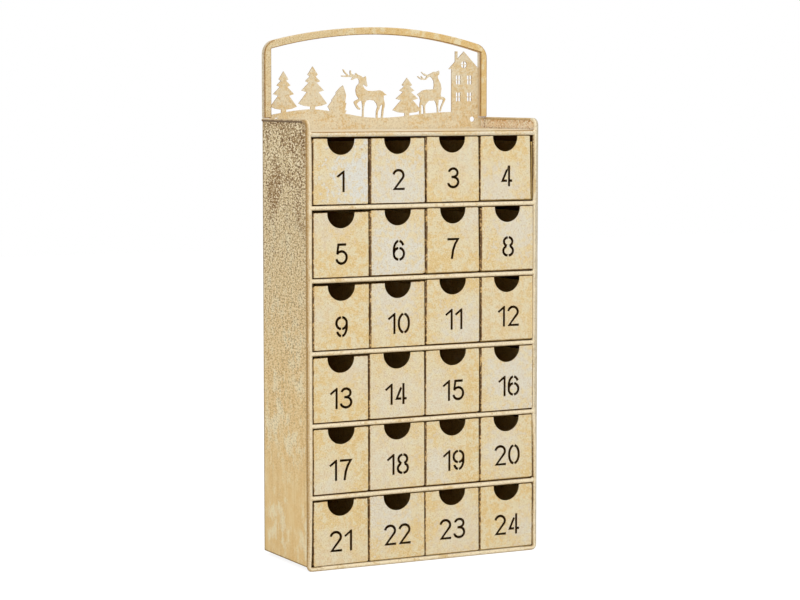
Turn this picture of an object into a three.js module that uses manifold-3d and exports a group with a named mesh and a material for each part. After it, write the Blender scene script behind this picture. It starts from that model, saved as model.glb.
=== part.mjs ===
// Metal advent calendar: a sheet steel casing with six rows of four drawers,
// numbered 1 to 24, under an arched bar that frames a cut-out winter scene.
// Millimetres, X to the right, Y from the front to the back, Z up.
// The origin is the middle of the footprint, on the surface that it stands on.

import * as THREE from 'three';
import Module from 'manifold-3d';
import { mergeVertices } from 'three/addons/utils/BufferGeometryUtils.js';

const wasm = await Module();
wasm.setup();

// Casing
const width = 240; // over the rims
const depth = 100; // front of the rims to the rear face of the back panel
const height = 493.7; // over the arch
const columns = 4;
const rows = 6;
const sheet = 0.6; // steel of the casing
const rim = 4.2; // diameter of the rolled front edges
const rimBend = 3; // centre line radius of a rim at the lower corners
const rimReturn = 9; // length of a side's rim along the bottom, past the bend
const footInset = 14; // back panel's foot from the outer faces of the sides
const lipHeight = 10.8; // sides above the top plate
const lipBend = 5; // centre line radius of a rim at the front of a lip
const lipHem = 2.4; // diameter of the folded upper edge of a lip

// Clearances
const seam = 0.2; // soldered joint
const slip = 0.3; // drawer above its shelf
const headGap = 1.7; // front below the rim above it
const frontGap = 1.8; // between two fronts
const sideGap = 1.9; // fronts to the sides' rims
const trayInset = 0.4; // tray inside the edges of its front
const endGap = 0.6; // shut tray to the back panel
const frontRecess = 0.6; // fronts behind the front of the rims

// Drawers
const frontSheet = 1;
const traySheet = 0.5;
const trayDrop = 5.4; // tray's walls below the upper edge of its front
const frontCorner = 1;
const notchRadius = 13.8;
const notchDrop = 0.8; // centre of the finger notch below the upper edge
const numberHeight = 19;
const numberWidth = 12.3;
const oneWidth = 7.6;
const numberGap = 2.6;
const oneShift = 1; // a pair with a one stands this far to the right
const numberDrop = 39; // middle of the numbers below the upper edge
const stroke = 1.9;
const bridge = 1.4; // metal left across a stroke
const numberShift = [ // each number right of and above its usual place
  [0.1, 0], [1.1, 0.7], [0.5, 1.3], [-0.4, 2.1],
  [0.7, 0.2], [1.5, 1.9], [0.2, 1.9], [1.4, 2],
  [0.7, 0.1], [0.5, 0.6], [0.2, 1.9], [0.8, 2.3],
  [-0.9, 0.7], [-2.4, 1.3], [-0.1, 1.4], [1.7, 2.2],
  [-1.6, 0.8], [-0.5, 2], [0.4, 1.4], [1.1, 2.5],
  [-1.5, 1.2], [-0.2, 2.4], [0.1, 2.8], [1.3, 2],
];

// Arch and cut-out scene
const barWidth = 6.8;
const barDepth = 7.5;
const barInset = 0.6; // arch inside the outer faces of the casing's sides
const barBehind = 2.8; // arch behind the rear face of the back panel
const archHeight = 95.9; // top of the arch above the top plate
const archRadius = 395;
const archCorner = 14;
const scenePlate = 1;
const sceneLap = 12; // scene plate over the back panel, below the top plate
const hangHole = 5.2;
const hangInset = 6.8; // holes inside the arch's uprights
const hangHeight = 8.7; // holes above the top plate
const ridgeGap = 3.5; // house below the arch

const rowPitch = (height - archHeight - rim) / rows;
const frontY = -(depth + barBehind) / 2;
const backY = frontY + depth;
const rimY = frontY + rim / 2;
const topLevel = rows * rowPitch + rim;
const lipTop = topLevel + lipHeight;
const sideX = width / 2 - rim / 2;
const insideX = width / 2 - rim;
const panelFront = backY - sheet;
const sceneY = backY + seam;
const bendX = sideX - rimBend;
const bendZ = rim / 2 + rimBend;
const foot = rim - sheet; // underside of the bottom plate and of the sides
const arcSteps = 6; // steps in a quarter circle
const over = 1; // cutters reach this far past what they cut

const paints = {
  front: new THREE.MeshStandardMaterial({ color: 0xe0cd9e, roughness: 0.62, metalness: 0.25 }),
  tray: new THREE.MeshStandardMaterial({ color: 0x3a2a18, roughness: 0.7, metalness: 0.3 }),
  side: new THREE.MeshStandardMaterial({ color: 0xb99c68, roughness: 0.6, metalness: 0.35 }),
  plate: new THREE.MeshStandardMaterial({ color: 0xd8c293, roughness: 0.6, metalness: 0.3 }),
  arch: new THREE.MeshStandardMaterial({ color: 0xcfae72, roughness: 0.55, metalness: 0.35 }),
};

const calendar = new THREE.Group();

function addPart(name, geometry, paint, x = 0, y = 0, z = 0) {
  const mesh = new THREE.Mesh(geometry, paint);
  mesh.name = name;
  mesh.position.set(x, y, z);
  calendar.add(mesh);
}

// Closed solids for joining and cutting

function toSolid(geometry) {
  const bare = geometry.index ? geometry.toNonIndexed() : geometry.clone();
  bare.deleteAttribute('normal');
  bare.deleteAttribute('uv');
  const merged = mergeVertices(bare, 1e-4);
  return new wasm.Manifold(new wasm.Mesh({
    numProp: 3,
    vertProperties: merged.attributes.position.array,
    triVerts: new Uint32Array(merged.index.array),
  }));
}

function fromSolid(solid) {
  const mesh = solid.getMesh();
  const geometry = new THREE.BufferGeometry();
  geometry.setAttribute('position', new THREE.BufferAttribute(mesh.vertProperties, 3));
  geometry.setIndex(new THREE.BufferAttribute(mesh.triVerts, 1));
  geometry.computeVertexNormals();
  return geometry;
}

function join(...geometries) {
  return fromSolid(geometries.map(toSolid).reduce((all, next) => all.add(next)));
}

function cut(geometry, ...tools) {
  return fromSolid(tools.map(toSolid).reduce((rest, tool) => rest.subtract(tool), toSolid(geometry)));
}

function box(x0, x1, y0, y1, z0, z1) {
  const geometry = new THREE.BoxGeometry(x1 - x0, y1 - y0, z1 - z0);
  return geometry.translate((x0 + x1) / 2, (y0 + y1) / 2, (z0 + z1) / 2);
}

// Flat outlines: lists of Vector2, drawn upright or across

function arc(cx, cy, rx, ry, from, to, steps) {
  const count = steps ?? Math.max(1, Math.ceil((Math.abs(to - from) / 90) * arcSteps));
  return Array.from({ length: count + 1 }, (_, i) => {
    const angle = THREE.MathUtils.degToRad(from + ((to - from) * i) / count);
    return new THREE.Vector2(cx + rx * Math.cos(angle), cy + ry * Math.sin(angle));
  });
}

function points(...pairs) {
  return pairs.map(([x, y]) => new THREE.Vector2(x, y));
}

function extrude(outline, thickness) {
  return new THREE.ExtrudeGeometry(new THREE.Shape(outline), { depth: thickness, bevelEnabled: false });
}

// An upright sheet: the outline's x and y become X and Z, and y0 is its front face.
function upright(outline, thickness, y0) {
  return extrude(outline, thickness).rotateX(Math.PI / 2).translate(0, y0 + thickness, 0);
}

// A profile in Y and Z that runs along X.
function across(profile, x0, x1) {
  return extrude(profile, x1 - x0).rotateY(Math.PI / 2).rotateX(Math.PI / 2).translate(x0, 0, 0);
}

// A rolled edge follows a route with one step to each of its points.
class Route extends THREE.Curve {
  constructor(stations) {
    super();
    this.stations = stations;
  }

  getPoint(t) {
    const place = t * (this.stations.length - 1);
    const i = Math.min(Math.floor(place), this.stations.length - 2);
    return this.stations[i].clone().lerp(this.stations[i + 1], place - i);
  }

  getTangent(t) {
    const i = Math.round(t * (this.stations.length - 1));
    const here = this.stations[i];
    const before = this.stations[i - 1] ?? here;
    const after = this.stations[i + 1] ?? here;
    return after.clone().sub(here).normalize().add(here.clone().sub(before).normalize()).normalize();
  }

  getUtoTmapping(u) {
    return u;
  }
}

// Rolled edges are eight-sided, as wide over their flats as the real roll.
const flatTurn = 22.5;
const overFlats = 1 / Math.cos(THREE.MathUtils.degToRad(flatTurn));

function roll(stations, diameter) {
  const radius = (diameter / 2) * overFlats;
  const section = new THREE.Shape(arc(0, 0, radius, radius, flatTurn, 360 - flatTurn, 7));
  const path = new Route(stations);
  return new THREE.ExtrudeGeometry(section, { steps: stations.length - 1, extrudePath: path });
}

// Casing: each side is one sheet that ends flush with the bottom plate, with its rim
// rolled round the front of the lip, down the front and a short way along the bottom.

function sidePanel(hand) {
  const hemY = rimY + lipBend;
  const inner = sideX - sheet / 2;
  const wall = box(inner, inner + sheet, rimY, panelFront - seam, foot, lipTop - rim / 2);
  const corner = points([rimY, lipTop - lipBend], [rimY, lipTop], [hemY, lipTop]);
  const lipCorner = across([
    ...corner,
    ...arc(hemY, lipTop - rim / 2 - lipBend, lipBend, lipBend, 90, 180),
  ], sideX - sheet, sideX + sheet);
  const frontRim = roll([
    ...arc(hemY, lipTop - rim / 2 - lipBend, lipBend, lipBend, 90, 180)
      .map((p) => new THREE.Vector3(sideX, p.x, p.y)),
    ...arc(bendX, bendZ, rimBend, rimBend, 0, -90).map((p) => new THREE.Vector3(p.x, rimY, p.y)),
    new THREE.Vector3(bendX - rimReturn, rimY, rim / 2),
  ], rim);
  const hem = roll([
    new THREE.Vector3(sideX, hemY - lipHem / 2, lipTop - lipHem / 2),
    new THREE.Vector3(sideX, panelFront - seam, lipTop - lipHem / 2),
  ], lipHem);
  const panel = join(cut(wall, lipCorner), frontRim, hem);
  return hand > 0 ? panel : mirrored(panel);
}

function mirrored(geometry) {
  const copy = geometry.clone().scale(-1, 1, 1);
  const index = copy.index.array;
  for (let i = 0; i < index.length; i += 3) {
    [index[i + 1], index[i + 2]] = [index[i + 2], index[i + 1]];
  }
  copy.computeVertexNormals();
  return copy;
}

// A plate has its rim rolled under its front edge, so that drawers slide over it.
function rimmedPlate(level, rimReach) {
  const radius = rim / 2;
  const corner = radius * overFlats;
  const shoulder = sheet + radius * Math.tan(THREE.MathUtils.degToRad(flatTurn));
  const rear = panelFront - seam;
  const profile = [
    ...arc(rimY, level - radius, corner, corner, 90 + flatTurn, 360 + flatTurn, 6),
    ...points([rimY + shoulder, level - sheet], [rear, level - sheet], [rear, level]),
  ];
  return across(profile, -rimReach, rimReach);
}

// The bottom plate lies between the sides, its rim between the ends of their rims.
function bottomPlate() {
  const reach = sideX - sheet / 2 - seam;
  const rimReach = bendX - rimReturn - seam;
  const wings = box(-reach, reach, frontY + rim + seam, panelFront - seam, foot, rim);
  return join(rimmedPlate(rim, rimReach), wings);
}

// The back panel's lower edge is the rear foot. Its corners are cut away under the sides.
function backPanel() {
  const half = sideX + sheet / 2;
  const tab = half - footInset;
  const outline = [
    ...points([-tab, 0], [tab, 0], [tab, foot], [half, foot]),
    ...points([half, lipTop - lipHem], [sideX - rim, lipTop - lipHem]),
    ...points([sideX - rim, topLevel], [rim - sideX, topLevel]),
    ...points([rim - sideX, lipTop - lipHem], [-half, lipTop - lipHem], [-half, foot], [-tab, foot]),
  ];
  return upright(outline, sheet, panelFront);
}

addPart('left_side_panel', sidePanel(-1), paints.side);
addPart('right_side_panel', sidePanel(1), paints.side);
addPart('bottom_plate', bottomPlate(), paints.plate);
addPart('top_plate', rimmedPlate(topLevel, insideX - seam), paints.plate);
addPart('back_panel', backPanel(), paints.plate);
for (let row = 1; row < rows; row += 1) {
  addPart(`shelf_${row}`, rimmedPlate(row * rowPitch + rim, insideX - seam), paints.plate);
}

// Numbers: strokes cut through the fronts, bridged as a stencil. A number's lower
// left corner is its own origin.

// A stroke of even width along a centre line. Sharp corners are blunted.
function ribbon(line) {
  const sides = [[], []];
  line.forEach((here, i) => {
    const before = line[i - 1] ?? here;
    const after = line[i + 1] ?? here;
    const into = here.clone().sub(before).normalize();
    const onward = after.clone().sub(here).normalize();
    const along = into.add(onward).normalize();
    const straight = i > 0 ? here.clone().sub(before) : after.clone().sub(here);
    const cosine = Math.max(0.5, along.dot(straight.normalize()));
    const offset = new THREE.Vector2(-along.y, along.x).multiplyScalar(stroke / 2 / cosine);
    sides[0].push(here.clone().add(offset));
    sides[1].unshift(here.clone().sub(offset));
  });
  return [...sides[0], ...sides[1]];
}

const right = numberWidth - stroke / 2;
const upper = numberHeight - stroke / 2;
const low = stroke / 2;
const middleX = numberWidth / 2;
const middleZ = numberHeight / 2;
const halfWidth = middleX - low;
const gapAngle = THREE.MathUtils.radToDeg(Math.asin(bridge / 2 / halfWidth));

function mirrorX(outline) {
  return outline.map((p) => new THREE.Vector2(numberWidth - p.x, p.y));
}

function turnOver(outline) {
  return outline.map((p) => new THREE.Vector2(numberWidth - p.x, numberHeight - p.y));
}

function zero() {
  const left = ribbon(arc(middleX, middleZ, halfWidth, middleZ - low, 90 + gapAngle, 270 - gapAngle));
  return [left, mirrorX(left)];
}

function one() {
  const stem = oneWidth - stroke;
  const flag = numberHeight - 4.7;
  return [points([stem, 0], [oneWidth, 0], [oneWidth, numberHeight], [oneWidth - 1.1, numberHeight],
    [0, flag], [1.2, flag - 1.3], [stem, flag + 2])];
}

function two() {
  const bowl = 4.7;
  const line = [
    ...arc(middleX, upper - bowl, halfWidth - 0.1, bowl, 168, -28),
    ...points([2.1, low], [numberWidth, low]),
  ];
  return [ribbon(line)];
}

// Both bowls of a three run into a short bar between them.
function three() {
  const topBowl = 3.9;
  const lowBowl = (upper - low) / 2 - topBowl;
  const topZ = upper - topBowl;
  const lowZ = low + lowBowl;
  const x = middleX - 0.2;
  const barEnd = 4.3;
  const topArc = (grow, from, to) => arc(x, topZ, halfWidth - 0.7 + grow, topBowl + grow, from, to);
  const lowArc = (grow, from, to) => arc(x, lowZ, halfWidth + 0.1 + grow, lowBowl + grow, from, to);
  return [[
    ...topArc(low, 165, -52),
    ...lowArc(low, 59, -168),
    ...lowArc(-low, -168, 90),
    ...points([barEnd, lowZ + lowBowl - low], [barEnd, topZ - topBowl + low]),
    ...topArc(-low, -90, 165),
  ]];
}

function four() {
  const bar = 5.1;
  const stem = 7.7;
  const corner = stem - bridge - 4.6;
  const barEnd = stem - bridge;
  const nub = stem + stroke + 2.2;
  return [
    ribbon(points([barEnd, upper - 2.9], [corner, bar], [barEnd, bar])),
    points([stem, 0], [stem + stroke, 0], [stem + stroke, bar - low], [nub, bar - low],
      [nub, bar + low], [stem + stroke, bar + low], [stem + stroke, numberHeight], [stem, numberHeight]),
  ];
}

function five() {
  const bowl = 5.5;
  const neck = new THREE.Vector2(low + 1, 2 * bowl - 1.4);
  return [
    ribbon([...points([right - 0.6, upper], [low + 2.2, upper]), neck]),
    ribbon([
      neck,
      ...points([low + 2.5, 2 * bowl + 0.3]),
      ...arc(middleX, low + bowl, halfWidth, bowl, 95, -165),
    ]),
  ];
}

// The hook and the bowl of a six share their left side.
function six() {
  const bowl = 5.3;
  const bowlZ = low + bowl;
  const gap = gapAngle;
  const shared = [
    ...arc(middleX, middleZ, middleX, middleZ, 90 + gap, 180),
    ...arc(middleX, bowlZ, middleX, bowl + low, 190, 270 - gap),
    ...arc(middleX, bowlZ, middleX - stroke, bowl - low, 270 - gap, 90 + gap),
    ...arc(middleX, bowlZ, middleX, bowl + low, 90 + gap, 137),
    ...arc(middleX, middleZ, middleX - stroke, middleZ - stroke, 168, 90 + gap),
  ];
  const hook = ribbon(arc(middleX, middleZ, halfWidth, middleZ - low, 90 - gap, 32));
  const bowlRight = ribbon(arc(middleX, bowlZ, halfWidth, bowl, 90 - gap, gap - 90));
  return [shared, hook, bowlRight];
}

function seven() {
  const knee = 0.41 * numberHeight;
  return [ribbon(points([0.5, upper], [right, upper], [8.4, knee + 5.8], [6.3, knee], [5, 0]))];
}

function eight() {
  const topBowl = 4.05;
  const lowBowl = (upper - low) / 2 - topBowl;
  const left = ribbon([
    ...arc(middleX, upper - topBowl, halfWidth - 0.7, topBowl, 90 + gapAngle, 238),
    ...arc(middleX, low + lowBowl, halfWidth, lowBowl, 122, 270 - gapAngle),
  ]);
  return [left, mirrorX(left)];
}

const digits = [zero, one, two, three, four, five, six, seven, eight, () => six().map(turnOver)];

// The cut-outs of a number, about x = 0 with their feet near z.
function numberCuts(number, z) {
  const signs = String(number).split('').map(Number);
  const widths = signs.map((sign) => (sign === 1 ? oneWidth : numberWidth));
  const total = widths.reduce((sum, each) => sum + each, 0) + numberGap * (signs.length - 1);
  const [shiftX, shiftZ] = numberShift[number - 1];
  let x = shiftX + (signs.length > 1 && signs.includes(1) ? oneShift : 0) - total / 2;
  return signs.flatMap((sign, i) => {
    const place = new THREE.Vector2(x, z + shiftZ);
    x += widths[i] + numberGap;
    return digits[sign]().map((outline) => outline.map((p) => p.clone().add(place)));
  });
}

// Drawers: a cut front soldered to a folded tray. A drawer's origin is the middle of
// its front's lower edge, on the front face.

const columnPitch = (2 * (insideX - sideGap) + frontGap) / columns;
const frontWidth = columnPitch - frontGap;
const frontHeight = rowPitch - rim - slip - headGap;
const trayHeight = frontHeight - trayDrop;
const trayWidth = frontWidth - 2 * trayInset;
const trayLength = panelFront - endGap - (frontY + frontRecess + frontSheet + seam);

function drawerFront(number) {
  const half = frontWidth / 2;
  const r = frontCorner;
  const notchZ = frontHeight - notchDrop;
  const outline = [
    ...arc(r - half, r, r, r, 180, 270, 2),
    ...arc(half - r, r, r, r, 270, 360, 2),
    ...arc(half - r, frontHeight - r, r, r, 0, 90, 2),
    ...points([notchRadius, frontHeight]),
    ...arc(0, notchZ, notchRadius, notchRadius, 0, -180, 3 * arcSteps),
    ...points([-notchRadius, frontHeight]),
    ...arc(r - half, frontHeight - r, r, r, 90, 180, 2),
  ];
  const foot = frontHeight - numberDrop - numberHeight / 2;
  const cutters = numberCuts(number, foot).map((sign) => upright(sign, frontSheet + 2 * over, -over));
  return cut(upright(outline, frontSheet, 0), ...cutters);
}

function drawerTray() {
  const half = trayWidth / 2;
  const y0 = frontSheet + seam;
  const y1 = y0 + trayLength;
  const block = box(-half, half, y0, y1, 0, trayHeight);
  const inside = box(traySheet - half, half - traySheet, y0 - over, y1 - traySheet,
    traySheet, trayHeight + over);
  return cut(block, inside);
}

for (let row = 0; row < rows; row += 1) {
  for (let column = 0; column < columns; column += 1) {
    const number = row * columns + column + 1;
    const label = String(number).padStart(2, '0');
    const x = (column - (columns - 1) / 2) * columnPitch;
    const z = (rows - 1 - row) * rowPitch + rim + slip;
    addPart(`drawer_front_${label}`, drawerFront(number), paints.front, x, frontY + frontRecess, z);
    addPart(`drawer_tray_${label}`, drawerTray(), paints.tray, x, frontY + frontRecess, z);
  }
}

// Arch: a square bar bent over the scene, its feet on the lips.

const barHalf = sideX + sheet / 2 - barInset;
const barFoot = lipTop + seam;
const archZ = height - archRadius;

function archFrame() {
  const innerRadius = archRadius - barWidth;
  const innerHalf = barHalf - barWidth;
  const cornerX = barHalf - archCorner;
  const cornerZ = archZ + Math.sqrt((archRadius - archCorner) ** 2 - cornerX ** 2);
  const lean = THREE.MathUtils.radToDeg(Math.acos(cornerX / (archRadius - archCorner)));
  const innerLean = THREE.MathUtils.radToDeg(Math.acos(innerHalf / innerRadius));
  const outline = [
    ...points([innerHalf, barFoot], [barHalf, barFoot]),
    ...arc(cornerX, cornerZ, archCorner, archCorner, 0, lean, arcSteps),
    ...arc(0, archZ, archRadius, archRadius, lean, 180 - lean, 16).slice(1, -1),
    ...arc(-cornerX, cornerZ, archCorner, archCorner, 180 - lean, 180, arcSteps),
    ...points([-barHalf, barFoot], [-innerHalf, barFoot]),
    ...arc(0, archZ, innerRadius, innerRadius, 180 - innerLean, innerLean, 16),
  ];
  return upright(outline, barDepth, backY + barBehind - barDepth);
}

addPart('arch_frame', archFrame(), paints.arch);

// Scene plate: hilly ground, fir trees, two reindeer and a gabled house, cut from one
// sheet. Heights in it are above the top plate, and places along it run from -1 at the
// arch's left upright to 1 at its right one.

const sceneHalf = barHalf - barWidth - seam;
const buried = 2; // feet below the line of the ground
const hills = [[-1, 13.7], [-0.8, 17.1], [-0.6, 18.9], [-0.36, 15.9], [-0.11, 11.3], [0.09, 10.6],
  [0.29, 12.1], [0.52, 14.8], [0.76, 15.8], [1, 15.9]].map(([place, z]) => [place * sceneHalf, z]);
const skyline = new THREE.SplineCurve(points(...hills)).getPoints(2 * hills.length);

function levelAt(x) {
  const i = Math.max(1, skyline.findIndex((p) => p.x >= x));
  return THREE.MathUtils.mapLinear(x, skyline[i - 1].x, skyline[i].x, skyline[i - 1].y, skyline[i].y);
}

function ground() {
  const half = sideX - sheet / 2 - seam;
  const ear = lipHeight - seam;
  return [
    ...points([-half, -sceneLap], [half, -sceneLap], [half, ear], [sceneHalf, ear]),
    ...[...skyline].reverse(),
    ...points([-sceneHalf, ear], [-half, ear]),
  ];
}

// A fir of four tiers: its height above the ground and the half width of its lowest tier.
function fir(x, rise, spread) {
  const foot = levelAt(x);
  const skirt = foot + 5.4;
  const height = foot + rise - skirt;
  const trunk = 2.5;
  const tiers = [[0.775, 0.36], [0.603, 0.52], [0.353, 0.78], [0, 1]];
  const side = tiers.flatMap(([up, out], i) => {
    const tierTip = [spread * out, skirt + height * up];
    const notch = [spread * (0.5 * out + 0.02), skirt + height * (up - 0.045)];
    return i < tiers.length - 1 ? [tierTip, notch] : [tierTip];
  });
  const half = [...side, [spread * 0.62, skirt - 2], [trunk, skirt - 2.8], [trunk, foot - buried]];
  return [
    ...half.map(([dx, z]) => new THREE.Vector2(x + dx, z)).reverse(),
    new THREE.Vector2(x, foot + rise),
    ...half.map(([dx, z]) => new THREE.Vector2(x - dx, z)),
  ];
}

// An outline whose own origin stands on the ground at x.
function standing(x, ...pairs) {
  return points(...pairs).map((p) => p.add(new THREE.Vector2(x, levelAt(x))));
}

// A small fir that leans to the right.
function leaningFir(x) {
  return standing(x, [4.8, -2], [6.8, 2], [5.3, 2.2], [6.6, 9], [5.4, 9.4], [6.4, 16.6], [4.6, 22],
    [3.2, 25.6], [-0.4, 23.2], [-4.4, 18.8], [-4, 17.8], [-8.8, 12], [-8.4, 11], [-12.8, 5.6],
    [-11.4, 3.6], [-8.6, -2]);
}

// A reindeer that stands to the left and looks back. Its standing forefoot is at x.
function lookingReindeer(x) {
  return standing(x,
    [-0.9, -2], [-0.4, 9.2], [-1.2, 15], [-3.6, 14.6], [-6, 12.8], [-6.4, 11.8], [-4.6, 9.2],
    [-2.4, 7.6], [-3.2, 6.6], [-5, 6.9], [-7.2, 9], [-9.5, 13], [-9.1, 14.6], [-4.2, 17], [-6.8, 20.4],
    [-7.6, 24.6], [-6.8, 28.6], [-3.9, 31.6], [-4, 34.4], [-5.2, 36.2], [-8.2, 36], [-10.8, 34.6],
    [-12.6, 35.2], [-10.6, 36.9], [-14.2, 37.4], [-18.2, 37.3], [-22.6, 37.8], [-22.6, 38.8],
    [-18.6, 38.8], [-17, 39], [-20.2, 42], [-21.2, 44.4], [-20.2, 44.6], [-18, 41.6], [-14.6, 38.9],
    [-13.4, 39.2], [-13.9, 41.4], [-13.5, 43.6], [-12.6, 43.6], [-12, 40.6], [-8.2, 39.2], [-7.9, 40.9],
    [-7, 41.2], [-5.6, 39.7], [-2.2, 38.6], [0.6, 36.8], [1.9, 37.4], [2.8, 38.3], [3.5, 37.3],
    [3.8, 33.4], [4.9, 29.4], [4.2, 28.4], [2.8, 29.2], [0.6, 30.4], [0.2, 29], [1.8, 26.4],
    [5.2, 24.4], [12, 24.3], [17.6, 25], [20.6, 24.2], [23, 22], [25.6, 20.4], [23.2, 20.2],
    [22.2, 19.8], [22, 17], [23.4, 11.6], [22.2, 6.4], [21, -2], [19.2, -2], [20, 5.4], [20.9, 10.8],
    [20.3, 11.6], [18.2, 9.8], [17.6, 7.4], [15.9, 4.6], [15.6, -2], [13.8, -2], [14, 5], [15.4, 9.4],
    [14.4, 12.4], [11.8, 15.3], [7.4, 15.9], [3.8, 15.3], [2, 12.6], [1, 7.4], [0.9, -2]);
}

// A reindeer that steps to the right with its muzzle up. Its standing forefoot is at x.
function steppingReindeer(x) {
  return standing(x,
    [-0.8, -2], [-0.9, 4.8], [-2.2, 9.4], [-3.7, 11.6], [-6.4, 11.2], [-9.4, 11.4], [-11.6, 9.4],
    [-13.6, 7.2], [-14, 3.4], [-13.2, -2], [-15.2, -2], [-15.6, 5], [-16.4, 7.2], [-17.9, 7.4],
    [-18.1, 3.6], [-18.1, -2], [-20, -2], [-19.8, 7], [-19, 11.8], [-19.8, 15], [-22.4, 17.2],
    [-19.6, 19], [-16.8, 21], [-12.4, 22], [-7.4, 22], [-4.7, 22.4], [-4.2, 26.2], [-4.6, 30.4],
    [-6.2, 32.6], [-8.2, 34.4], [-10.8, 33.4], [-13, 31.2], [-17.6, 31.2], [-21, 33], [-22.2, 34.4],
    [-21.4, 34.8], [-19.2, 33.2], [-17.4, 32.4], [-18.4, 34.6], [-17.8, 35], [-15.8, 32.6],
    [-13.6, 32.5], [-12, 34.6], [-14.6, 35.2], [-18.2, 38.4], [-17.6, 38.9], [-14.8, 36.7],
    [-14.2, 37.2], [-13.4, 36.4], [-10.8, 36], [-8.4, 37], [-4.6, 39], [-1.4, 39], [0.8, 40],
    [1.7, 39.4], [1.5, 36.6], [-0.1, 35], [0, 32.8], [3, 27.6], [4, 22.8], [3.2, 18.6], [3.2, 15.4],
    [6.6, 14.8], [8.4, 12.9], [6.4, 8.6], [4.4, 4.8], [3.2, 0.9], [2, 1.1], [3.2, 5.7], [5.8, 11.4],
    [5.4, 12.2], [3.2, 12.4], [1, 12.2], [0.6, 8.6], [0.4, 4.4], [0.9, -2]);
}

// A gabled house with a chimney, its right side against the arch. Its walls, roof and
// windows hang from the ridge, which stays clear of the arch's underside.
const houseWidth = 29.4;
const wallX = sceneHalf - houseWidth;
const apexX = wallX + 13.6;
const ridge = archHeight - archRadius + Math.sqrt((archRadius - barWidth) ** 2 - apexX ** 2) - ridgeGap;
const eaveDrop = 17.2;
const roofSlope = 1.02;
const chimneyLeft = wallX + 3.9;
const chimneyRight = wallX + 6.6;

function house() {
  const foot = levelAt(wallX) - buried;
  const roof = (x) => ridge - roofSlope * Math.abs(x - apexX);
  const eaveX = wallX - 2.6;
  return points([wallX, foot], [sceneHalf, foot], [sceneHalf, roof(sceneHalf)], [apexX, ridge],
    [chimneyRight, roof(chimneyRight)], [chimneyRight, ridge], [chimneyLeft, ridge],
    [chimneyLeft, roof(chimneyLeft)], [eaveX, roof(eaveX)], [eaveX, ridge - eaveDrop],
    [wallX, ridge - eaveDrop]);
}

// The panes of a window: a cross of bars is left between four cuts.
function panes(x, z, half, rise, bar) {
  const each = [[-1, -1], [1, -1], [1, 1], [-1, 1]];
  return each.map(([sx, sz]) => {
    const turn = sx * sz > 0 ? [[bar, bar], [half, bar], [half, rise], [bar, rise]]
      : [[bar, bar], [bar, rise], [half, rise], [half, bar]];
    return points(...turn).map((p) => new THREE.Vector2(x + sx * p.x, z + sz * p.y));
  });
}

function roundPanes(x, z, radius, bar) {
  const edge = THREE.MathUtils.radToDeg(Math.asin(bar / radius));
  return [0, 90, 180, 270].map((start) => [
    ...arc(0, 0, radius, radius, start + edge, start + 90 - edge, 4),
    ...arc(0, 0, bar * Math.SQRT2, bar * Math.SQRT2, start + 45, start + 45, 1).slice(1),
  ].map((p) => p.add(new THREE.Vector2(x, z))));
}

function windows() {
  const bar = 0.35;
  const halfWidth = 2.4;
  const halfHeight = 4.2;
  const upstairs = ridge - eaveDrop - 10.2;
  const downstairs = levelAt(wallX) + 14.4;
  const bays = [wallX + 7.3, wallX + 19.6];
  return [
    ...roundPanes(apexX, ridge - 12.8, 3.3, bar),
    ...bays.flatMap((x) => [upstairs, downstairs].flatMap((z) => panes(x, z, halfWidth, halfHeight, bar))),
  ];
}

function scenePanel() {
  const hangX = barHalf - barWidth - hangInset;
  const outerSpread = 13.6;
  const firGap = 0.7;
  const figures = [
    ground(),
    fir(outerSpread + firGap - sceneHalf, 38.2, outerSpread),
    fir(-0.6 * sceneHalf, 40.1, 14.8),
    leaningFir(-0.344 * sceneHalf),
    lookingReindeer(-0.127 * sceneHalf),
    fir(0.298 * sceneHalf, 36.2, 15.4),
    steppingReindeer(0.6 * sceneHalf),
    house(),
  ];
  const holes = [-hangX, hangX].map((x) => arc(x, hangHeight, hangHole / 2, hangHole / 2, 0, 330, 11));
  const cutters = [...windows(), ...holes]
    .map((outline) => upright(outline, scenePlate + 2 * over, sceneY - over));
  const sheets = figures.map((outline) => upright(outline, scenePlate, sceneY));
  return cut(join(...sheets), ...cutters).translate(0, 0, topLevel);
}

addPart('scene_plate', scenePanel(), paints.arch);

export default calendar;
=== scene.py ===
import math

import bmesh
import bpy
from mathutils import Matrix, Vector, noise


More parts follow.
